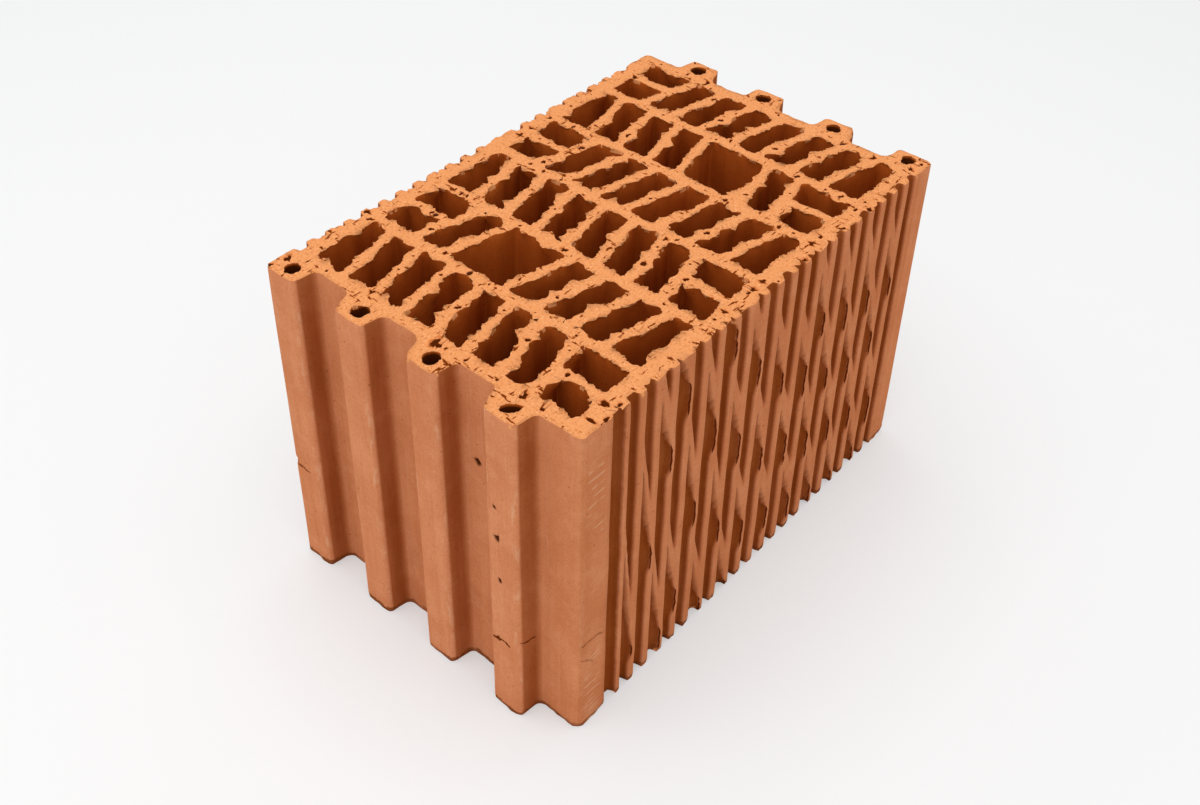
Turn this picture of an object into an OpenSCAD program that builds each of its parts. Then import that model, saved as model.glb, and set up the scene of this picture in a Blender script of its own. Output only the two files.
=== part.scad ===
// Hollow clay block: one extruded piece with upright holes, tongued ends and fluted long sides.
// Millimetres, +Z up, standing on its base, with the length along X and the width along Y.

/* [Block] */
// Length over the tongues
block_l = 375; // [320:1:420]
// Width between the fluted faces
block_w = 240; // [220:1:280]
// Height between the two cut faces
block_h = 249; // [100:1:300]

/* [Tongues] */
// How far the tongues stand out of the end wall
tongue_d = 16.5; // [11:0.5:20]
// Width of a tongue's face
tongue_w = 23; // [18:0.5:24]
// Widening of a tongue at its root, on its steep flank
tongue_flare = 2; // [1:0.5:3]
// Widening of a tongue at its root, on its slanted flank
tongue_slant = 7; // [4:0.5:8]
// Radius of the tongues' corners
tongue_r = 4.5; // [1:0.5:5]
// Radius of the block's corner at its outermost tongue
tongue_corner_r = 5.5; // [1:0.5:7]
// Radius of the block's corner beside its outermost groove
groove_corner_r = 2; // [0.5:0.5:4]
// Diameter of the bore in each tongue
bore_d = 9; // [5:0.5:10]
// Distance of a bore's middle from the tongue's face
bore_set = 10; // [8:0.5:11]

/* [Walls and webs] */
// End wall between the tongues' roots and the first cells
end_wall = 10; // [6:0.5:14]
// Side wall between a fluted face and the cells
side_wall = 15; // [11:0.5:18]
// Straight webs across the block, between the columns of cells
cross_web = 8; // [5:0.5:12]
// Slanted webs between the cells of a column
slant_web = 7; // [4:0.5:9]
// Slant of those webs, in degrees
web_slant = 13; // [6:0.5:16]
// Height, along the width, of the paired cells that close a column
pair_w = 31; // [24:0.5:36]
// Web between the paired cells
pair_web = 7; // [4:0.5:10]
// Radius of the cells' corners
cell_r = 2; // [1:0.5:4]

/* [Flutes] */
// Flutes on each long face
flutes = 22; // [14:1:24]
// Depth of a flute
flute_d = 4.5; // [2.5:0.5:6]
// Width of the smooth margin at each end of a long face
margin = 20; // [14:1:36]
// Width of a flute at its mouth
flute_w = 9.5; // [7:0.5:11]
// Width of a flute's flat floor
flute_floor = 6.5; // [4:0.5:7]
// Radius of the flutes' corners
flute_r = 0.8; // [0.2:0.1:0.8]

/* [Shown] */
// Node to draw

/* [Hidden] */
clay_colour = [0.75, 0.45, 0.28];
$fn = 48;
// Flat steps in a rounded corner, fewer in a small one
function arc_steps(r) = r < 1 ? 2 : 4;

// Tongues: four share the width, and the other end is the same turned half round
tongues = 4;
tongue_pitch = block_w / tongues;
// Room on each side of a tongue that stands in a neighbour's groove
tongue_slack = (tongue_pitch - 2 * tongue_w - tongue_flare - tongue_slant) / 2;
first_tongue = (block_w - tongue_w - tongue_slant) / 2 - tongue_slack / 10;
root_x = block_l / 2 - tongue_d;
bore_x = block_l / 2 - bore_set;

// Cells: columns along the length, each with a run of slots and a pair of small cells
columns = 6;
slots = 7;
grip_columns = [1, 4];
grip_slot = 4;
cell_w = (2 * (root_x - end_wall) - (columns - 1) * cross_web) / columns;
column_pitch = cell_w + cross_web;
cells_y = block_w / 2 - side_wall;
slot_pitch = (2 * cells_y - pair_w) / slots;
web_y = slant_web / cos(web_slant);
rise = cell_w / 2 * tan(web_slant);

// Flutes: spread between the margins of a face that ends at a tongue on one side only
flute_pitch = (block_l - tongue_d - 2 * margin) / flutes;

function unit(v) = v / norm(v);
function xy(p) = [p[0], p[1]];
function tongue_y(i) = first_tongue - i * tongue_pitch;
function column_x(i) = (i - (columns - 1) / 2) * column_pitch;
function flute_x(i) = tongue_d / 2 + (i - (flutes - 1) / 2) * flute_pitch;

// The arc that rounds the corner at b, between the edges that come from a and go to c
function corner_arc(a, b, c, r) =
    let (u = unit(a - b), v = unit(c - b))
    let (half = acos(u * v) / 2)
    let (centre = b + unit(u + v) * r / sin(half))
    let (from = b + u * r / tan(half) - centre)
    let (turn = (180 - 2 * half) * sign(cross(b - a, c - b)))
    let (start = atan2(from[1], from[0]), step = turn / arc_steps(r))
    [for (i = [0 : arc_steps(r)]) centre + r * [cos(start + step * i), sin(start + step * i)]];

// A closed outline from corners given as [x, y, radius]
function rounded(p) =
    let (n = len(p))
    [for (i = [0 : n - 1]) each corner_arc(xy(p[(i + n - 1) % n]), xy(p[i]), xy(p[(i + 1) % n]), p[i][2])];

// One tongued end and the long face after it, anticlockwise from the outer corner of the first tongue
function tongue_corners(i) =
    let (y = tongue_y(i), face = tongue_w / 2)
    [
        [-root_x, y + face + tongue_slant, tongue_r],
        [-block_l / 2, y + face, tongue_r],
        [-block_l / 2, y - face, tongue_r],
        [-root_x, y - face - tongue_flare, tongue_r]
    ];
function first_corners() =
    let (y = tongue_y(0))
    [
        [-block_l / 2, block_w / 2, tongue_corner_r],
        [-block_l / 2, y - tongue_w / 2, tongue_r],
        [-root_x, y - tongue_w / 2 - tongue_flare, tongue_r]
    ];
function flute_corners(i) =
    let (x = flute_x(i), y = -block_w / 2)
    [
        [x - flute_w / 2, y, flute_r],
        [x - flute_floor / 2, y + flute_d, flute_r],
        [x + flute_floor / 2, y + flute_d, flute_r],
        [x + flute_w / 2, y, flute_r]
    ];
function half_outline() = concat(
    first_corners(),
    [for (i = [1 : tongues - 1]) each tongue_corners(i)],
    [[-root_x, -block_w / 2, groove_corner_r]],
    [for (i = [0 : flutes - 1]) each flute_corners(i)]
);
function turned(p) = [for (c = p) [-c[0], -c[1], c[2]]];

module outline() {
    half = half_outline();
    polygon(rounded(concat(half, turned(half))));
}

// A cell of one column between two slanted lines, given by their heights at the column's middle
module slanted_cell(low, high) {
    w = cell_w / 2;
    polygon(rounded([
        [-w, low - rise, cell_r],
        [w, low + rise, cell_r],
        [w, high + rise, cell_r],
        [-w, high - rise, cell_r]
    ]));
}

module end_cell() {
    w = cell_w / 2;
    low = cells_y - slot_pitch + web_y;
    polygon(rounded([
        [-w, low - rise, cell_r],
        [w, low + rise, cell_r],
        [w, cells_y, cell_r],
        [-w, cells_y, cell_r]
    ]));
}

// One of the paired cells, between x0 and x1, under the last slanted web
module paired_cell(x0, x1) {
    high = cells_y - slots * slot_pitch;
    slope = tan(web_slant);
    polygon(rounded([
        [x0, -cells_y, cell_r],
        [x1, -cells_y, cell_r],
        [x1, high + slope * x1, cell_r],
        [x0, high + slope * x0, cell_r]
    ]));
}

// Slot i runs from its top line down to the web under it, and a grip hole leaves out the web between two
module slot(i, merged) {
    high = cells_y - i * slot_pitch;
    low = high - (merged ? 2 : 1) * slot_pitch + web_y;
    slanted_cell(low, high);
}

module column_cells(has_grip) {
    end_cell();
    for (i = [1 : slots - 1]) {
        if (!has_grip || i != grip_slot + 1) slot(i, has_grip && i == grip_slot);
    }
    paired_cell(-cell_w / 2, -pair_web / 2);
    paired_cell(pair_web / 2, cell_w / 2);
}

// Every second column is mirrored across the width, so that the slanted webs zigzag
module cells() {
    for (i = [0 : columns - 1]) {
        translate([column_x(i), 0])
            mirror([0, i % 2, 0])
                column_cells(len(search(i, grip_columns)) > 0);
    }
}

module bores() {
    for (i = [0 : tongues - 1]) {
        translate([-bore_x, tongue_y(i)]) circle(d = bore_d);
        translate([bore_x, -tongue_y(i)]) circle(d = bore_d);
    }
}

module clay_block() {
    color(clay_colour)
        linear_extrude(block_h)
            difference() {
                outline();
                cells();
                bores();
            }
}

clay_block();
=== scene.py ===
import math
import random

import bmesh
import bpy
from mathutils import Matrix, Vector, kdtree, noise


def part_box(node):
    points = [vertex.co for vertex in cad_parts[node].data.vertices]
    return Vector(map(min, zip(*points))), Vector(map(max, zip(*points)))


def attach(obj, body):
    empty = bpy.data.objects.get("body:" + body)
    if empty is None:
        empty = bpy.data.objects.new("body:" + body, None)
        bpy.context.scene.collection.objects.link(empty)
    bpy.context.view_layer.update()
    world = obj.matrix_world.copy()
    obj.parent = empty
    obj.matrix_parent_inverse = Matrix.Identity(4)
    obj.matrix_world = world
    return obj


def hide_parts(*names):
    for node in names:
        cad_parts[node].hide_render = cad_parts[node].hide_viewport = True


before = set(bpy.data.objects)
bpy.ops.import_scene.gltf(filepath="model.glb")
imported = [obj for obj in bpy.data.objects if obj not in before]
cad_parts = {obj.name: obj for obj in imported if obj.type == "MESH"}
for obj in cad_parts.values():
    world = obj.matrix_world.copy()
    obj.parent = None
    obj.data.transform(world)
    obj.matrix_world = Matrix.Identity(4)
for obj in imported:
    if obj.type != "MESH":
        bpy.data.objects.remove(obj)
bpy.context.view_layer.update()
random.seed(9)

# Sizes, in metres. The block's own come from the frame, and the section's repeat the part's values.
MM = 0.001
LOW, HIGH = (Vector(corner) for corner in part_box("clay_block"))
LENGTH, WIDTH, HEIGHT = HIGH - LOW
TONGUES = 4
TONGUE_DEPTH = 16.5 * MM
TONGUE_PITCH = WIDTH / TONGUES
FIRST_TONGUE = 104.75 * MM
ROOT_X = LENGTH / 2 - TONGUE_DEPTH
BORE_X = 177.5 * MM
BORE_REACH = 5.5 * MM
FLUTES = 22
FLUTE_WIDTH = 9.5 * MM
FLUTE_DEPTH = 4.5 * MM
MARGIN = 20 * MM
FLUTE_PITCH = (LENGTH - TONGUE_DEPTH - 2 * MARGIN) / FLUTES
FIRST_FLUTE = TONGUE_DEPTH / 2 - (FLUTES - 1) / 2 * FLUTE_PITCH
RIB_WIDTH = FLUTE_PITCH - FLUTE_WIDTH
# How far from a flute's middle its flanks are taken to begin
FLANK_FROM = 2.5 * MM

# Places nearer than SAME are one place, and a flute's own points lie at most SLACK past its edges
SAME = 1e-6
SLACK = 1e-5
# A face is part of a wall where its normal rises less than this, and of a cut face where it rises more
UPRIGHT = 0.5

# How finely the walls are divided: points along the section, then levels down from the top and up
# from the floor
FLUTE_SPACING = 1.3 * MM
END_SPACING = 3.6 * MM
CELL_SPACING = 2.4 * MM
RIM_SPACING = 0.9 * MM
WEB_SPACING = 5 * MM
TOP_LEVELS = [0.8 * MM, 3 * MM, 9 * MM]
FLOOR_LEVELS = [4 * MM]
SKIN_LEVELS = 38

# The wiped places on a long face, as (flute, height of the wipe's lower edge at the flute's left, and at
# its right), in mm
WIPES = [
    (1, 133, 50), (2, 187, 125), (3, 230, 193), (3, 90, 35), (4, 257, 230), (4, 100, 57), (5, 178, 127),
    (6, 222, 185), (6, 60, 20), (7, 283, 246), (7, 133, 87), (8, 178, 150), (8, 50, 13), (9, 230, 203),
    (9, 93, 60), (10, 150, 118), (11, 203, 173), (11, 73, 48), (12, 132, 107), (13, 183, 160),
    (13, 63, 38), (14, 229, 196), (14, 123, 90), (15, 172, 139), (15, 59, 26), (16, 219, 186),
    (16, 114, 81), (17, 162, 129), (17, 52, 19), (18, 214, 181), (18, 106, 73), (19, 168, 135),
    (19, 56, 23), (20, 210, 177), (20, 96, 63),
]
# How tall a wipe is, and where it thins out and ends, from its upper edge
WIPE_TALL = 37 * MM
WIPE_THINS = -16 * MM
WIPE_ENDS = 3 * MM

# The tears under the wipes: how wide, how tall in mm and by how much that varies, where they fade, and
# the tallest. The rib after the first flute is torn by a share all the way up.
TEAR_WIDTH = 2.7 * MM
TEAR_TALL = 26
TEAR_VARIES = 9
TEAR_FADE = 9 * MM
TALLEST_TEAR = 50 * MM
FIRST_RIB_TORN = 0.5

# The worn round of the corners beside the outermost grooves, which is half as wide again at its foot
CORNER_ROUND = 6 * MM
CORNER_FOOT = 9 * MM

# Nicks in the near end, as (place, radius), and cracks in and beside it, as (one end, other end, how
# dark), in mm. A broad nick is a shallow chip.
BROAD_NICK = 5
NICKS = [
    ((-171, -40.4, 179.5), 3.4), ((-187.5, -71.1, 152.7), 2.8), ((-187.5, -72.3, 117.8), 2),
    ((-187.5, -70.1, 178), 1.6), ((-187.5, 119, 88), BROAD_NICK),
]
NICK_AROUND = 4
CRACKS = [
    ((-187.5, -61, 62.5), (-187.5, -79, 65.1), 1), ((-187, -87, 72.1), (-175, -88.5, 67), 1),
    ((-187.5, 118, 86), (-187.5, 103, 85), 0.8), ((-171, -120, 80), (-148, -120, 76), 0.5),
    ((-170, -120, 66), (-158, -120, 57), 0.4),
]

# Scuffs on the margins of the near long face: the top of the one at its left foot, the heights of the
# ones above it and at the right, and the pitch of their strokes
FOOT_SCUFF = 72 * MM
LEFT_SCUFF = (163 * MM, 227 * MM)
RIGHT_SCUFF = (105 * MM, 195 * MM)
STROKE_PITCH = 6.5 * MM

# How a cell's rim is torn, from coarse to fine, as (how far, how deep down, size of the lumps, seed), in mm
RIM_TEARS = [(2.0, 3, 4.2, 8), (1.3, 1.5, 1.9, 21), (1.2, 0.8, 1.1, 22)]
# Lumps on those rims: how many, their reach, and how far they stand out, or back, in mm
BLOBS = 200
BLOB_REACH = (2.2, 5.5)
BLOB_SIZES = (-1.6, 1.8, 2.5, 3.2, 4)
# The bore of the last tongue of the near end is squashed, most at its rim and less down to a depth
SQUASHED_BORE = Vector((-BORE_X, FIRST_TONGUE - (TONGUES - 1) * TONGUE_PITCH, 0))
SQUASH_RIM = 9 * MM
SQUASH_DEEP = 200 * MM

# Pits in the upper cut face: how many, and their radii in mm, of which one in three is larger
PITS = 110
PIT_RADII = (0.7, 1.15)
PIT_SCALES = (1, 1, 1.7)

# What is written down for each point, for the materials: painted shadow under torn lips, painted shade in
# pits, nicks and bores, in cells and in hollows, being on an edge, painted light on the tongue faces, and
# scuffs
MARKS = ("tear_shadow", "pit", "cell", "hollow_shade", "edge", "tongue_light", "scuff")

# Colours of the drawn skin. The painted light of the tongue faces, and the painted shade of the hollows and
# the cells, multiply what is under them.
SKIN = (0.61, 0.212, 0.089, 1)
SKIN_MOTTLE = (0.71, 0.271, 0.122, 1)
DRAWN_STREAK = (0.53, 0.160, 0.050, 1)
PALE_STREAK = (0.76, 0.37, 0.205, 1)
PALE_CLOUD = (0.755, 0.325, 0.166, 1)
SKIN_GRAIN = (0.42, 0.12, 0.04, 1)
# Painted light: the faces of the tongues are made lighter and less orange
TONGUE_LIGHT = (1.06, 1.10, 1.16, 1)
WORN_EDGE = (0.80, 0.46, 0.28, 1)
STROKE = (0.80, 0.43, 0.25, 1)
# Painted shade: the flutes, the grooves between the tongues, the foot of the ends and, faintly, all of the
# long faces are made darker and redder
HOLLOW_SHADE = (0.45, 0.285, 0.12, 1)
# Painted shade: the walls of the cells and bores are made darker and redder
CELL_SHADE = (0.67, 0.385, 0.125, 1)
SPECK = (0.25, 0.06, 0.02, 1)
CRACK = (0.15, 0.028, 0.004, 1)
# Painted shade: a ragged dark band along the foot, just above the floor
FOOT_SHADE = (0.20, 0.050, 0.012, 1)
# Painted shadow: the dark line under the overhanging lip of a torn rib
TEAR_SHADOW = (0.14, 0.022, 0.002, 1)
# Painted shade: inside the nicks and down the bores
NICK_SHADE = (0.07, 0.013, 0.002, 1)

# Colours of the cut faces
CUT = (0.81, 0.318, 0.116, 1)
CUT_MOTTLE = (0.865, 0.374, 0.152, 1)
DARK_GRAIN = (0.47, 0.118, 0.024, 1)
PALE_GRAIN = (1.0, 0.56, 0.28, 1)
FINE_GRAIN = (0.66, 0.22, 0.065, 1)
# Painted shade: a redder ring around each pit and fleck
RING_SHADE = (0.56, 0.135, 0.026, 1)
FLECK = (0.17, 0.027, 0.002, 1)
# Painted shade: inside the pits of the upper cut face
PIT_SHADE = (0.075, 0.012, 0.001, 1)

# The studio: its paper, the glow it is seen with and the share of that, and the daylight's strength
PAPER = (0.885, 0.89, 0.895, 1)
PAPER_GLOW = (0.935, 0.935, 0.935, 1)
PAPER_LIFT = 0.4
FLOOR_SIZE = 12
DAYLIGHT = 0.66


def smooth(low, high, x):
    """0 below low, 1 above high, and a soft rise between."""
    t = min(max((x - low) / (high - low), 0.0), 1.0)
    return t * t * (3 - 2 * t)


def grain(point, size, seed=0.0):
    """Soft noise from about -1 to 1, with lumps of that size."""
    return noise.noise(Vector(point) / size + Vector((seed, 1.7 * seed, 0.3 * seed)))


def pick(piece, mode, test):
    """In edit mode, selects only the edges or faces that pass the test, and says how many."""
    bpy.ops.mesh.select_mode(type=mode)
    bpy.ops.mesh.select_all(action="DESELECT")
    mesh = bmesh.from_edit_mesh(piece.data)
    chosen = 0
    for part in {"EDGE": mesh.edges, "FACE": mesh.faces}[mode]:
        if test(part):
            part.select_set(True)
            chosen += 1
    bmesh.update_edit_mesh(piece.data)
    return chosen


def at_top(edge):
    return all(v.co.z > HEIGHT - SAME for v in edge.verts)


def on_rim(edge):
    """Whether an edge parts a cut face from a wall."""
    return any(abs(face.normal.z) < UPRIGHT for face in edge.link_faces)


def faces_up(face):
    return face.normal.z > UPRIGHT


def on_long_face(point):
    return abs(point.y) > WIDTH / 2 - FLUTE_DEPTH - MM


def on_end(point):
    return abs(point.x) > ROOT_X - 2 * MM


def in_bore(point, more=0.0):
    """The bores stand one in each tongue, and those of one end are the other's turned half round."""
    end = -1 if point.x < 0 else 1
    along = min(abs(-end * point.y - FIRST_TONGUE + i * TONGUE_PITCH) for i in range(TONGUES))
    return math.hypot(abs(point.x) - BORE_X, along) < BORE_REACH + more


def on_skin(point):
    return (on_long_face(point) or on_end(point)) and not in_bore(point)


def wanted_spacing(edge):
    middle = (edge.verts[0].co + edge.verts[1].co) / 2
    if in_bore(middle):
        return CELL_SPACING / 2
    if on_long_face(middle):
        return FLUTE_SPACING
    return END_SPACING if on_end(middle) else CELL_SPACING


def flute_place(point):
    """The side of a point of a long face, its flute, and how far along it is from that flute's middle."""
    side = -1 if point.y < 0 else 1
    x = -side * point.x - FIRST_FLUTE
    k = min(max(int((x + FLUTE_WIDTH / 2 + SLACK) // FLUTE_PITCH), 0), FLUTES - 1)
    return side, k, x - k * FLUTE_PITCH


def torn_rib(k, z):
    """How much of its width the rib after flute k has lost at a height, from 0 to 1."""
    most = FIRST_RIB_TORN if k == 0 else 0.0
    for flute, tip, foot in WIPES:
        low = foot * MM - z
        if flute == k and 0 < low < TALLEST_TEAR:
            lost = min(low / (tip - foot) / MM * FLUTE_WIDTH / TEAR_WIDTH, 1)
            end = (TEAR_TALL + TEAR_VARIES * grain((flute, tip, 0), 1.7, 40)) * MM
            most = max(most, lost * (1 - smooth(end, end + TEAR_FADE, low)))
    return most


def in_tear(edge):
    """Whether an upright edge stands on a torn rib."""
    first, last = (v.co for v in edge.verts)
    middle = (first + last) / 2
    if abs(first.z - last.z) < SAME or not on_long_face(middle) or abs(middle.x) > ROOT_X:
        return False
    _, k, along = flute_place(middle)
    return along > FLANK_FROM and torn_rib(k, middle.z) > 0.02


def by_nick(face):
    """Whether a wall's face lies in or around a nick."""
    centre = face.calc_center_median()
    return abs(face.normal.z) < UPRIGHT and any(
        (centre - Vector(place) * MM).length < (radius + NICK_AROUND) * MM for place, radius in NICKS)


def even_triangles():
    bpy.ops.mesh.quads_convert_to_tris()
    bpy.ops.mesh.beautify_fill()


def block_from_section():
    """The block rebuilt from the CAD section, with points close enough together to be worn and torn."""
    bpy.ops.object.select_all(action="DESELECT")
    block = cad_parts["clay_block"].copy()
    block.data = block.data.copy()
    block.name = "fired_block"
    block.parent = None
    block.matrix_world.identity()
    bpy.context.collection.objects.link(block)
    block.select_set(True)
    bpy.context.view_layer.objects.active = block
    block.data.materials.clear()

    # The upper cut face alone, with its rims divided
    bpy.ops.object.mode_set(mode="EDIT")
    bpy.ops.mesh.select_all(action="SELECT")
    bpy.ops.mesh.remove_doubles(threshold=SAME)
    pick(block, "FACE", lambda face: face.normal.z < UPRIGHT)
    bpy.ops.mesh.delete(type="FACE")
    while pick(block, "EDGE", lambda e: e.is_boundary and e.calc_length() > 1.5 * wanted_spacing(e)):
        bpy.ops.mesh.subdivide(number_cuts=1)
    bpy.ops.mesh.select_mode(type="FACE")
    bpy.ops.mesh.select_all(action="SELECT")
    even_triangles()

    # Drawn down to the floor, cut into levels near both rims, and the outer skin into many more
    bpy.ops.mesh.select_all(action="SELECT")
    bpy.ops.mesh.extrude_region()
    bpy.ops.transform.translate(value=(0, 0, -HEIGHT))
    bpy.ops.mesh.select_all(action="SELECT")
    bpy.ops.mesh.normals_make_consistent(inside=False)
    for z in [HEIGHT - d for d in TOP_LEVELS] + FLOOR_LEVELS:
        bpy.ops.mesh.select_all(action="SELECT")
        bpy.ops.mesh.bisect(plane_co=(0, 0, z), plane_no=(0, 0, 1))
    pick(block, "EDGE", lambda e: e.calc_length() > HEIGHT / 2 and on_skin(e.verts[0].co))
    bpy.ops.mesh.subdivide(number_cuts=SKIN_LEVELS)
    pick(block, "EDGE", in_tear)
    bpy.ops.mesh.subdivide(number_cuts=1)
    pick(block, "FACE", by_nick)
    bpy.ops.mesh.subdivide(number_cuts=2)

    # More points across the webs of the upper cut face, then on the rims of its cells
    pick(block, "EDGE", lambda e: at_top(e) and not on_rim(e) and e.calc_length() > WEB_SPACING)
    bpy.ops.mesh.subdivide(number_cuts=1)
    pick(block, "FACE", faces_up)
    even_triangles()
    while pick(block, "EDGE", lambda e: at_top(e) and on_rim(e) and not on_skin(e.verts[0].co)
               and e.calc_length() > RIM_SPACING):
        bpy.ops.mesh.subdivide(number_cuts=1)
        pick(block, "FACE", faces_up)
        even_triangles()
    bpy.ops.object.mode_set(mode="OBJECT")
    return block


def wall_ways(mesh):
    """For each point, the level way its wall faces, or no way at all inside a cut face."""
    ways = [Vector() for _ in mesh.vertices]
    for face in mesh.polygons:
        if abs(face.normal.z) < UPRIGHT:
            for index in face.vertices:
                ways[index] += face.normal
    for way in ways:
        way.z = 0
        way.normalize()
    return ways


def tree_of(points):
    tree = kdtree.KDTree(len(points))
    for index, point in enumerate(points):
        tree.insert(point, index)
    tree.balance()
    return tree


class Pit:
    """A hole torn in the upper cut face: where, how wide each way, how turned and how deep."""

    def __init__(self, middle, radius):
        self.middle = middle
        self.radius = radius
        self.stretch = random.uniform(1.0, 1.9)
        self.turn = random.uniform(-0.9, 0.5)
        self.depth = radius * random.uniform(1.0, 1.6)

    def nearness(self, point):
        """Below 1 inside the pit."""
        gap = point - self.middle
        c, s = math.cos(self.turn), math.sin(self.turn)
        along, across = c * gap.x + s * gap.y, c * gap.y - s * gap.x
        ragged = 1 + 0.45 * grain(point, 2.2 * MM, 4)
        return math.hypot(along / self.stretch, across) / self.radius * ragged


def pits_in(mesh, ways):
    """Pits at random points inside the upper cut face, away from the bores."""
    inner = [v.co.copy() for v in mesh.vertices if v.co.z > HEIGHT - SAME and ways[v.index].length == 0
             and not in_bore(v.co, 4 * MM)]
    return [Pit(middle, random.uniform(*PIT_RADII) * MM * random.choice(PIT_SCALES))
            for middle in random.sample(inner, PITS)]


def refine_pits(block, pits):
    """Divides the upper cut face more finely in and around its pits."""
    near = tree_of([pit.middle for pit in pits])
    bpy.ops.object.mode_set(mode="EDIT")

    def by_a_pit(face):
        centre = face.calc_center_median()
        _, index, gap = near.find(centre)
        return faces_up(face) and gap < pits[index].radius * pits[index].stretch + MM
    pick(block, "FACE", by_a_pit)
    bpy.ops.mesh.subdivide(number_cuts=2)
    pick(block, "FACE", faces_up)
    bpy.ops.mesh.quads_convert_to_tris()
    bpy.ops.object.mode_set(mode="OBJECT")


def blobs_on(mesh, ways):
    """Lumps at random points of the cells' upper rims: a tree of their places, and (reach, size) of each."""
    rims = [v.co.copy() for v in mesh.vertices
            if v.co.z > HEIGHT - SAME and ways[v.index].length and not on_skin(v.co)]
    places = random.sample([p for p in rims if not in_bore(p)], BLOBS)
    blobs = [(random.uniform(*BLOB_REACH) * MM, random.choice(BLOB_SIZES)) for _ in places]
    return tree_of(places), blobs


def flute_columns(mesh):
    """How far the upright rows of points of a flute stand from its middle, taken from one flute."""
    middle = FIRST_FLUTE + 10 * FLUTE_PITCH
    return sorted({round(v.co.x - middle, 6) for v in mesh.vertices
                   if v.co.y < -WIDTH / 2 + FLUTE_DEPTH + SLACK
                   and abs(v.co.x - middle) < FLUTE_WIDTH / 2 + SLACK})


def bore_point(point, way, shift):
    """A point of a bore's wall, with its shift in mm: narrower at its rims, and one bore squashed."""
    top = HEIGHT - point.z
    rim = min(top, point.z)
    point = point + way * (0.6 * shift - 1.2 * math.exp(-rim / (9 * MM))) * MM
    gap = point - SQUASHED_BORE
    if math.hypot(gap.x, gap.y) > 2 * BORE_REACH:
        return point
    gap = gap * (1 - smooth(SQUASH_RIM, SQUASH_DEEP, top))
    flat, wide = -0.2 * (gap.x + gap.y), 0.06 * (gap.x - gap.y)
    return point + Vector((flat + wide, flat - wide, 0))


def cell_point(point, way, blob_tree, blobs):
    """A point of a cell's or a bore's wall: wavy, with a torn rim, which hangs over here and there."""
    top = HEIGHT - point.z
    rim = min(top, point.z)
    shift = (0.5 + 2.0 * math.exp(-rim / (7 * MM))) * grain((point.x, point.y, point.z / 8), 10 * MM, 3)
    for far, deep, size, seed in RIM_TEARS:
        shift += far * math.exp(-rim / (deep * MM)) * grain(point, size * MM, seed)
    if in_bore(point):
        return bore_point(point, way, shift)
    for _, index, gap in blob_tree.find_range((point.x, point.y, HEIGHT), 14 * MM):
        reach, size = blobs[index]
        shift += size * math.exp(-(gap / reach) ** 2) * (1 - smooth(1.5 * MM, 9 * MM, top))
    return point + way * shift * MM


def wipe_of(k, along, z, columns):
    """How far a wipe fills flute k at a place (0 to 1), and where the place moves to along the face."""
    filled = 0.0
    for flute, tip, foot in WIPES:
        if flute != k:
            continue
        slope = (tip - foot) * MM / FLUTE_WIDTH
        edge = (tip * MM - z) / slope - FLUTE_WIDTH / 2
        over = z - tip * MM + slope * (along + FLUTE_WIDTH / 2) - WIPE_TALL
        if over > WIPE_ENDS or along < edge - 1.5 * MM:
            continue
        fill = 1 - smooth(WIPE_THINS, WIPE_ENDS, over)
        # The row of points nearest to the wipe's lower edge moves onto it
        if abs(edge) < FLUTE_WIDTH / 2 and abs(min(columns, key=lambda c: abs(c - edge)) - along) < SLACK:
            return fill, edge
        if along > edge:
            filled = max(filled, fill)
    return filled, along


def rounded_corner(point):
    """A point near the block's corner beside its outermost groove, drawn in to a worn round."""
    side = -1 if point.y < 0 else 1
    x, y = ROOT_X - side * point.x, WIDTH / 2 - abs(point.y)
    radius = CORNER_ROUND * (1.5 - 0.5 * smooth(0, CORNER_FOOT, point.z))
    if side * point.x < 0 or x > radius or y > radius:
        return point
    gap = math.hypot(radius - x, radius - y)
    if gap <= radius:
        return point
    share = radius / gap
    x, y = radius - (radius - x) * share, radius - (radius - y) * share
    return Vector((side * (ROOT_X - x), side * (WIDTH / 2 - y), point.z))


def scuffed(side, x, z):
    """How scuffed a place of a long face is, from 0 to 1: only the margins of the near one are."""
    scuff = 0.0
    if side < 0 and (z < FOOT_SCUFF or LEFT_SCUFF[0] < z < LEFT_SCUFF[1]):
        scuff = smooth(FIRST_FLUTE - 6 * MM, FIRST_FLUTE - 10 * MM, x) * smooth(4 * MM, 8 * MM, x + ROOT_X)
    if side < 0 and RIGHT_SCUFF[0] < z < RIGHT_SCUFF[1]:
        scuff = max(scuff, smooth(LENGTH / 2 - 16 * MM, LENGTH / 2 - 10 * MM, x))
    return scuff


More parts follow.
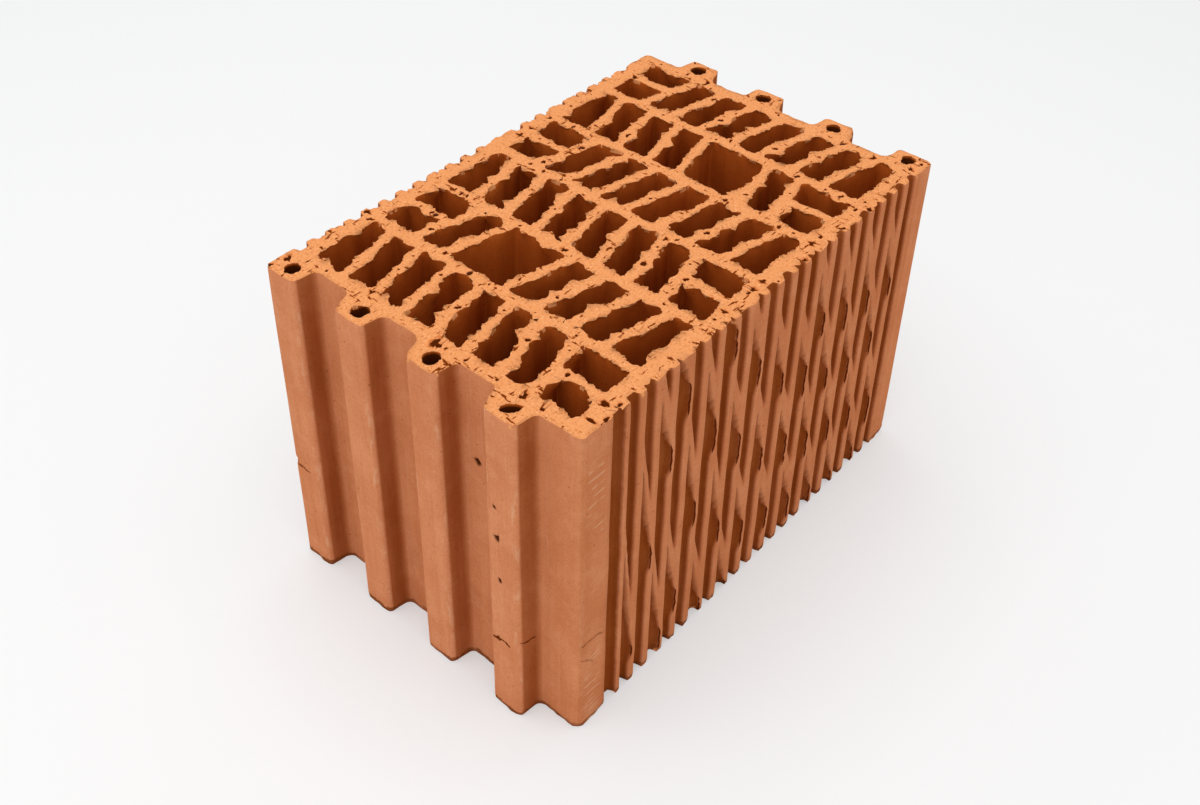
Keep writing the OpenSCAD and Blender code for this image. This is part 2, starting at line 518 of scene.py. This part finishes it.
def long_face_point(point, columns):
    """A point of a fluted face: ribs that wander, wipes across the flutes and torn ribs under them."""
    side, k, along = flute_place(point)
    x, z, depth = -side * point.x, point.z, WIDTH / 2 - abs(point.y)
    tear_shadow = 0.0
    if -FLUTE_WIDTH / 2 - SLACK < along < FLUTE_WIDTH / 2 + RIB_WIDTH:
        fresh = along
        if along < FLUTE_WIDTH / 2 + SLACK:
            filled, fresh = wipe_of(k, along, z, columns)
            level = (0.2 + 0.25 * grain((x, 0, z), 9 * MM, 5)) * MM
            depth += filled * (level - depth) if depth > level else 0
        # The rib on the right of the flute loses its left part and leans over as a thin lip
        torn = torn_rib(k, z)
        if torn and along > FLANK_FROM:
            place = (k, side, z)
            ragged = torn * (1 + 0.3 * grain(place, 4 * MM, 6) + 0.3 * grain(place, 1.7 * MM, 9))
            crown = max(along - FLUTE_WIDTH / 2, 0) / RIB_WIDTH
            under = smooth(0.15 * MM, MM, depth) * (1 - smooth(2 * MM, FLUTE_DEPTH, depth))
            fresh += (0.5 * MM + TEAR_WIDTH * (1 - crown) + 0.9 * MM * under) * ragged
            # Painted shadow under the lip, on the opened clay just below its crown
            open_clay = smooth(0, 0.4 * MM, depth) * (1 - smooth(1.2 * MM, 2.4 * MM, depth))
            tear_shadow = smooth(0.5, 0.85, ragged) * open_clay
        # The flank on its left belongs to the rib of the flute before
        torn = torn_rib(k - 1, z)
        if torn and along < -FLANK_FROM:
            fresh += 0.5 * torn * MM * (1 - smooth(-4.5 * MM, -FLANK_FROM, along))
        x = FIRST_FLUTE + k * FLUTE_PITCH + fresh
        # The ribs wander, and those near the left margin stand a little to the right
        x += 0.5 * MM * grain((x * 0.6, side, z), 26 * MM, 2)
        first_ribs = 2 * math.exp(-max(x - FIRST_FLUTE, 0) / (50 * MM))
        x += (0.7 + first_ribs) * MM * (1 - smooth(100 * MM, 170 * MM, x))
        # Lips at the top
        lips = smooth(-0.2, 0.5, grain((x, side, 0), 6 * MM, 12))
        depth -= depth * 0.7 * lips * (1 - smooth(0.5 * MM, 5 * MM, HEIGHT - z))
    # How deep in a flute a point is: painted shade there, and also where the feet are ragged
    hollow_shade = smooth(0.6 * MM, 2.4 * MM, depth)
    # Ragged feet, a slightly uneven face, and worn rims
    if hollow_shade:
        depth += (1 - smooth(0, 7 * MM, z)) * 0.8 * MM * (1 + grain((x, side, 0), 5 * MM, 13))
    depth += 0.25 * MM * (1 + grain((x, side, z / 3), 18 * MM, 7))
    rim = 1 - smooth(0, 3 * MM, min(z, HEIGHT - z))
    depth += rim * 0.6 * MM * (1 + grain((x, side, z), 4 * MM, 14))
    corner = smooth(ROOT_X - 7 * MM, ROOT_X, -x)
    # Every point of a long face gets at least a little painted shade, and the flutes more
    found = {"tear_shadow": tear_shadow, "hollow_shade": max(hollow_shade, 0.13), "edge": 0.6 * corner, "scuff": scuffed(side, x, z)}
    return Vector((-side * x, side * (WIDTH / 2 - depth), z)), found


def nicked(point):
    """How far inside a nick a point of an end is, from 0 to 1, and how far it sinks there, in mm."""
    inside = 0.0
    sunk = 0.0
    for place, radius in NICKS:
        ragged = 1 + 0.5 * grain(point, 2.5 * MM, 31)
        near = (point - Vector(place) * MM).length / (radius * MM) * ragged
        inside = max(inside, 1 - smooth(0.35, 1.0, near))
        if near < 1:
            deep = 1.1 * (1 - smooth(0.3, 1.0, near)) if radius < BROAD_NICK else 0.6 * (1 - near)
            sunk += radius * deep
    return inside, sunk


def end_point(point, way):
    """A point of a tongued end: nearly even, with soft wear along the rims and nicks, and marks of painted
    shade in the nicks, the grooves and along the foot, and of painted light on the tongue faces.
    """
    depth = LENGTH / 2 - abs(point.x)
    nick, sunk = nicked(point)
    shift = 0.3 * grain((point.x, point.y, point.z / 4), 20 * MM, 15) - 0.25 - sunk
    rim = 1 - smooth(0, 4 * MM, min(point.z, HEIGHT - point.z))
    shift += rim * (0.9 * grain(point, 5 * MM, 16) - 0.4)
    # Painted shade along the foot, ragged and weaker in places, which joins the shade of the grooves
    shade_at_foot = smooth(-0.15, 0.35, grain((point.x, point.y, 0), 9 * MM, 30))
    shade_at_foot *= 1 - smooth(0.5 * MM, 3.5 * MM, point.z)
    # Painted shade on the flanks and floors of the grooves between the tongues
    flank = smooth(0.25, 0.8, abs(way.y)) if abs(point.y) < WIDTH / 2 - 3 * MM else 0.0
    hollow_shade = 0.78 * flank * smooth(2 * MM, 4.5 * MM, depth)
    hollow_shade *= 1 - 0.5 * smooth(13 * MM, TONGUE_DEPTH, depth)
    edge = smooth(0.1, 0.4, abs(way.y)) * (1 - smooth(2 * MM, 4 * MM, depth))
    # Painted light on the tongue faces
    tongue_light = 1 - smooth(MM, 4 * MM, depth)
    found = {"hollow_shade": max(hollow_shade, 0.8 * shade_at_foot), "edge": edge, "tongue_light": tongue_light, "pit": nick}
    return point + way * shift * MM, found


def cut_point(point, near_pits, pits):
    """A point of a cut face: grainy, with pits torn in the upper one."""
    sunk = 0.28 * (1 + grain(point, 3.5 * MM, 17)) + 0.2 * (1 + grain(point, 11 * MM, 18))
    # How far inside a pit a point is, for the painted shade there
    pit = 0.0
    up = point.z > HEIGHT / 2
    if up:
        for _, index, _ in near_pits.find_range(point, 5 * MM):
            inside = 1 - smooth(0.65, 1.1, pits[index].nearness(point))
            pit = max(pit, inside)
            sunk = max(sunk, inside * pits[index].depth / MM)
    return point + Vector((0, 0, -sunk if up else sunk)) * MM, pit


def wear_block(block):
    """Moves the points of the block as the clay was torn, wiped and worn, and writes down their marks."""
    pits = pits_in(block.data, wall_ways(block.data))
    refine_pits(block, pits)
    near_pits = tree_of([pit.middle for pit in pits])
    mesh = block.data
    ways = wall_ways(mesh)
    blob_tree, blobs = blobs_on(mesh, ways)
    columns = flute_columns(mesh)
    marks = {name: [0.0] * len(mesh.vertices) for name in MARKS}
    moved = []
    for v in mesh.vertices:
        point, way, found = v.co.copy(), ways[v.index], {}
        if way.length and on_skin(point):
            if on_long_face(point) and abs(way.y) > 0.05 and abs(point.x) < ROOT_X - MM:
                point, found = long_face_point(point, columns)
            else:
                point, found = end_point(point, way)
            point = rounded_corner(point)
        elif way.length:
            # Painted shade on every wall of a cell and a bore
            found = {"cell": 1.0}
            if in_bore(point):
                # Painted shade down a bore, from just below its rim
                found["pit"] = 0.62 * smooth(0.4 * MM, 4 * MM, HEIGHT - point.z)
            point = cell_point(point, way, blob_tree, blobs)
        if abs(v.co.z - HEIGHT / 2) > HEIGHT / 2 - SAME:
            point, found["pit"] = cut_point(point, near_pits, pits)
        moved.append([min(max(c, low), high) for c, low, high in zip(point, LOW, HIGH)])
        for name, value in found.items():
            marks[name][v.index] = value
    mesh.vertices.foreach_set("co", [c for point in moved for c in point])
    for name in MARKS:
        mesh.attributes.new(name, "FLOAT", "POINT").data.foreach_set("value", marks[name])
    mesh.update()


class Wire:
    """One output of a material's node tree, with arithmetic that adds the nodes it needs."""

    def __init__(self, tree, socket):
        self.tree = tree
        self.socket = socket

    def node(self, kind, settings, sockets, output=0):
        """Any node: its kind, settings, sockets (values or wires), and the output to go on from."""
        made = self.tree.nodes.new(kind)
        for name, value in settings.items():
            setattr(made, name, value)
        for name, value in sockets.items():
            if isinstance(value, Wire):
                self.tree.links.new(value.socket, made.inputs[name])
            else:
                made.inputs[name].default_value = value
        return Wire(self.tree, made.outputs[output])

    def maths(self, operation, *values):
        return self.node("ShaderNodeMath", {"operation": operation}, dict(enumerate(values)))

    def __add__(self, other):
        return self.maths("ADD", self, other)

    def __radd__(self, other):
        return self.maths("ADD", other, self)

    def __sub__(self, other):
        return self.maths("SUBTRACT", self, other)

    def __rsub__(self, other):
        return self.maths("SUBTRACT", other, self)

    def __mul__(self, other):
        return self.maths("MULTIPLY", self, other)

    def __rmul__(self, other):
        return self.maths("MULTIPLY", other, self)

    def smooth(self, low, high):
        """0 at low, 1 at high, and a soft rise between."""
        return self.node("ShaderNodeMapRange", {"interpolation_type": "SMOOTHSTEP"},
                         {"Value": self, "From Min": low, "From Max": high})

    def vector(self, operation, *values, output=0):
        return self.node("ShaderNodeVectorMath", {"operation": operation}, dict(enumerate(values)), output)

    def stretched(self, x, y, z):
        return self.vector("MULTIPLY", self, (x, y, z))

    def noise(self, scale, detail=3.0, rough=0.55):
        return self.node("ShaderNodeTexNoise", {}, {"Vector": self, "Scale": scale, "Detail": detail,
                                                    "Roughness": rough}, "Fac")

    def spots(self, scale):
        return self.node("ShaderNodeTexVoronoi", {}, {"Vector": self, "Scale": scale}, "Distance")

    def from_line(self, first, last):
        """How far a place is from the line between two points."""
        way = last - first
        gap = self.vector("SUBTRACT", self, first)
        share = gap.vector("DOT_PRODUCT", gap, way / way.length_squared, output="Value")
        share = share.node("ShaderNodeClamp", {}, {"Value": share})
        foot = share.node("ShaderNodeVectorMath", {"operation": "SCALE"}, {0: way, "Scale": share})
        return gap.vector("DISTANCE", gap, foot, output="Value")

    def plain(self, colour):
        """One colour all over."""
        made = self.node("ShaderNodeRGB", {}, {})
        made.socket.default_value = colour
        return made

    def tint(self, amount, other, blend="MIX"):
        """This colour mixed with another by an amount."""
        return self.node("ShaderNodeMix", {"data_type": "RGBA", "blend_type": blend},
                         {"Factor": amount, 6: self, 7: other}, 2)


def clay(name):
    """A new matt material: its shader, and wires of its object coordinates and of each mark."""
    material = bpy.data.materials.new(name)
    material.use_nodes = True
    tree = material.node_tree
    shader = tree.nodes["Principled BSDF"]
    shader.inputs["Specular IOR Level"].default_value = 0.0
    start = Wire(tree, None)
    where = start.node("ShaderNodeTexCoord", {}, {}, "Object")
    marks = {mark: start.node("ShaderNodeAttribute", {"attribute_name": mark}, {}, "Fac") for mark in MARKS}
    return material, shader, where, marks


def join_up(shader, colour, rough, height, strength):
    """Joins the colour, roughness and bump to the shader."""
    bump = colour.node("ShaderNodeBump", {}, {"Height": height, "Strength": strength, "Distance": MM})
    for name, wire in (("Base Color", colour), ("Roughness", rough), ("Normal", bump)):
        colour.tree.links.new(wire.socket, shader.inputs[name])


def skin_colour(where, streaks, fine):
    """The drawn skin's own colour: mottled, streaked upright, clouded and grainy."""
    mottle = where.noise(26, 5, 0.6)
    pale = where.stretched(1, 1, 0.03).noise(420, 3, 0.6).smooth(0.54, 0.72)
    clouds = where.noise(55, 5, 0.65).smooth(0.48, 0.7)
    colour = where.plain(SKIN)
    colour = colour.tint(mottle.smooth(0.3, 0.7) * 0.8, SKIN_MOTTLE)
    colour = colour.tint(streaks.smooth(0.4, 0.75) * 0.32, DRAWN_STREAK)
    colour = colour.tint(pale * 0.18, PALE_STREAK)
    colour = colour.tint(clouds * 0.35, PALE_CLOUD)
    return colour.tint(fine.smooth(0.45, 0.75) * 0.42, SKIN_GRAIN)


def stroked(where, up):
    """Level strokes: wavy ones higher up, and fine scratches near the foot."""
    wave = up * (2 * math.pi / STROKE_PITCH) + where.noise(30, 2) * 5
    wave = wave.maths("SINE", wave).smooth(0.45, 0.95) * where.noise(90, 2).smooth(0.4, 0.55)
    scratch = where.stretched(0.12, 1, 1).noise(520, 2, 0.5).smooth(0.5, 0.62)
    higher = up.smooth(90 * MM, 110 * MM)
    return scratch + higher * (wave - scratch)


def cracked(where):
    """The cracks, each a line that wanders up and down."""
    wander = where.node("ShaderNodeCombineXYZ", {}, {"Z": (where.noise(130, 3) - 0.5) * (11 * MM)})
    ragged = where.vector("ADD", where, wander)
    crack = 0
    for first, last, darkness in CRACKS:
        line = ragged.from_line(Vector(first) * MM, Vector(last) * MM)
        crack = crack + (1 - line.smooth(0.5 * MM, 1.15 * MM)) * darkness
    return crack


def foot_shade(where, up):
    """Painted shade in a ragged band just above the floor, weaker in places."""
    low = up + (where.noise(150, 4, 0.7) - 0.5) * (9 * MM)
    patches = 0.4 + 0.6 * where.noise(45, 2).smooth(0.36, 0.5)
    return (1 - low.smooth(4.0 * MM, 5.2 * MM)) * patches


def skin_clay():
    """The drawn skin, outside and in the cells."""
    material, shader, where, marks = clay("skin_clay")
    up = where.node("ShaderNodeSeparateXYZ", {}, {0: where}, "Z")
    streaks = where.stretched(1, 1, 0.025).noise(190, 4, 0.65)
    fine = where.noise(900, 3, 0.6)
    specks = (1 - where.spots(130).smooth(0.05, 0.11)) * where.noise(70, 2).smooth(0.5, 0.56)
    wear = where.stretched(1, 1, 0.3).noise(130, 5, 0.7).smooth(0.5, 0.68)
    strokes = marks["scuff"] * stroked(where, up)
    uneven = 0.9 + 0.2 * where.stretched(1, 1, 0.2).noise(60, 4, 0.6).smooth(0.35, 0.65)
    crack = cracked(where)
    # Painted shadow under the torn lips, with a ragged edge
    torn = (marks["tear_shadow"] + (where.noise(260, 3) - 0.5)).smooth(0.25, 0.6)
    colour = skin_colour(where, streaks, fine)
    # Painted light on the tongue faces
    colour = colour.tint(marks["tongue_light"], TONGUE_LIGHT, "MULTIPLY")
    colour = colour.tint(marks["edge"] * wear * 0.5, WORN_EDGE)
    colour = colour.tint(strokes * 0.5, STROKE)
    # Painted shade in the hollows, slightly uneven
    colour = colour.tint(marks["hollow_shade"] * uneven, HOLLOW_SHADE, "MULTIPLY")
    # Painted shade in the cells
    colour = colour.tint(marks["cell"], CELL_SHADE, "MULTIPLY")
    colour = colour.tint(specks * 0.6, SPECK)
    colour = colour.tint(crack, CRACK)
    # Painted shade along the foot
    colour = colour.tint(foot_shade(where, up) * 0.8, FOOT_SHADE)
    colour = colour.tint(torn * 0.95, TEAR_SHADOW)
    # Painted shade inside the nicks and down the bores, from the pit mark
    colour = colour.tint(marks["pit"].smooth(0.1, 0.5) * 0.95, NICK_SHADE)
    height = fine * 0.35 + streaks * 0.5 - specks * 0.5 - crack * 1.5 + strokes * 0.4
    join_up(shader, colour, 0.78 + 0.2 * fine, height, 0.35)
    return material


def cut_clay():
    """The cut faces: grainy, with crumbled flecks, and pits painted dark with shade, each in a redder ring
    of painted shade.
    """
    material, shader, where, marks = clay("cut_clay")
    mottle = where.noise(22, 3)
    grains = where.noise(620, 5, 0.75)
    fine = where.noise(1400, 3, 0.6)
    long_flecks = where.stretched(1, 0.3, 1).noise(360, 3, 0.6)
    cross_flecks = where.stretched(0.3, 1, 1).noise(360, 3, 0.6) - 0.005
    crumbly = long_flecks.maths("MAXIMUM", long_flecks, cross_flecks) + (where.noise(48, 3) - 0.55) * 0.25
    flecks = crumbly.smooth(0.652, 0.672)
    # Painted shade inside the pits
    torn = marks["pit"] + (where.noise(500, 3) - 0.5) * 0.7
    pits = torn.smooth(0.42, 0.6)
    # A redder ring of painted shade around the pits and the flecks
    shade_rings = torn.smooth(0.15, 0.42)
    shade_rings = shade_rings.maths("MAXIMUM", crumbly.smooth(0.618, 0.65), shade_rings)
    colour = where.plain(CUT)
    colour = colour.tint((mottle - 0.35) * 0.8, CUT_MOTTLE)
    colour = colour.tint(grains.smooth(0.53, 0.68) * 0.85, DARK_GRAIN)
    colour = colour.tint(1 - grains.smooth(0.3, 0.45), PALE_GRAIN)
    colour = colour.tint(fine.smooth(0.55, 0.75) * 0.4, FINE_GRAIN)
    colour = colour.tint(shade_rings * 0.75, RING_SHADE)
    colour = colour.tint(flecks * 0.97, FLECK)
    colour = colour.tint(pits * 0.98, PIT_SHADE)
    height = fine * 0.3 - grains - flecks * 1.5 - pits
    join_up(shader, colour, 0.85 + 0.12 * fine, height, 0.6)
    return material


def finish_block(block):
    """Gives the cut faces and the rest of the block their clay, and shades it smooth."""
    mesh = block.data
    for material in (skin_clay(), cut_clay()):
        mesh.materials.append(material)
    for face in mesh.polygons:
        corners = [mesh.vertices[i].co.z for i in face.vertices]
        upper_cut = min(corners) > HEIGHT - 8 * MM and abs(face.normal.z) > 0.3
        face.material_index = 1 if upper_cut or max(corners) < 2 * MM else 0
    bpy.ops.object.shade_smooth_by_angle(angle=math.radians(38))
    triangles = sum(len(face.vertices) - 2 for face in mesh.polygons)
    print("block:", len(mesh.vertices), "points", triangles, "triangles")


def camera():
    lens = bpy.data.cameras.new("camera")
    lens.sensor_fit = "HORIZONTAL"
    lens.sensor_width = 36
    lens.lens = 41.2557
    lens.shift_x = -0.027156
    lens.shift_y = -0.155003
    lens.clip_start = 0.01
    eye = bpy.data.objects.new("camera", lens)
    eye.location = (-0.55376, -0.45484, 0.75228)
    eye.rotation_euler = [math.radians(a) for a in (54.6354, -1.8738, -49.8827)]
    bpy.context.collection.objects.link(eye)
    bpy.context.scene.camera = eye


def soft_lamp(name, place, aim, size, power):
    lamp = bpy.data.lights.new(name, "AREA")
    lamp.size = size
    lamp.energy = power
    stand = bpy.data.objects.new(name, lamp)
    stand.location = place
    stand.rotation_euler = (Vector(aim) - Vector(place)).to_track_quat("-Z", "Y").to_euler()
    bpy.context.collection.objects.link(stand)


def paper():
    """Pale paper that is seen a little lighter than it lights the block."""
    material = bpy.data.materials.new("paper")
    material.use_nodes = True
    tree = material.node_tree
    shader = tree.nodes["Principled BSDF"]
    shader.inputs["Base Color"].default_value = PAPER
    shader.inputs["Roughness"].default_value = 0.9
    shader.inputs["Specular IOR Level"].default_value = 0.1
    sheet = Wire(tree, shader.outputs[0])
    seen = 0
    for ray in ("Is Camera Ray", "Is Glossy Ray", "Is Transmission Ray"):
        seen = seen + sheet.node("ShaderNodeLightPath", {}, {}, ray)
    lift = seen.maths("MINIMUM", seen, 1) * PAPER_LIFT
    glow = sheet.node("ShaderNodeEmission", {}, {"Color": PAPER_GLOW})
    lifted = sheet.node("ShaderNodeMixShader", {}, {"Fac": lift, 1: sheet, 2: glow})
    tree.links.new(lifted.socket, tree.nodes["Material Output"].inputs["Surface"])
    return material


def studio_floor():
    bpy.ops.object.select_all(action="DESELECT")
    bpy.ops.mesh.primitive_plane_add(size=FLOOR_SIZE, location=(0, 0, 0))
    floor = bpy.context.object
    floor.name = "studio_floor"
    floor.data.materials.append(paper())


def daylight():
    """White light from all round."""
    scene = bpy.context.scene
    scene.view_settings.view_transform = "Standard"
    world = bpy.data.worlds.new("studio")
    world.use_nodes = True
    sky = world.node_tree.nodes["Background"]
    sky.inputs["Color"].default_value = (1, 1, 1, 1)
    sky.inputs["Strength"].default_value = DAYLIGHT
    scene.world = world


block = block_from_section()
wear_block(block)
finish_block(block)

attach(block, "root")
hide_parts("clay_block")

camera()
soft_lamp("overhead", place=(-0.35, 0.0, 2.0), aim=(0, 0, 0.2), size=2.2, power=26)
studio_floor()
daylight()
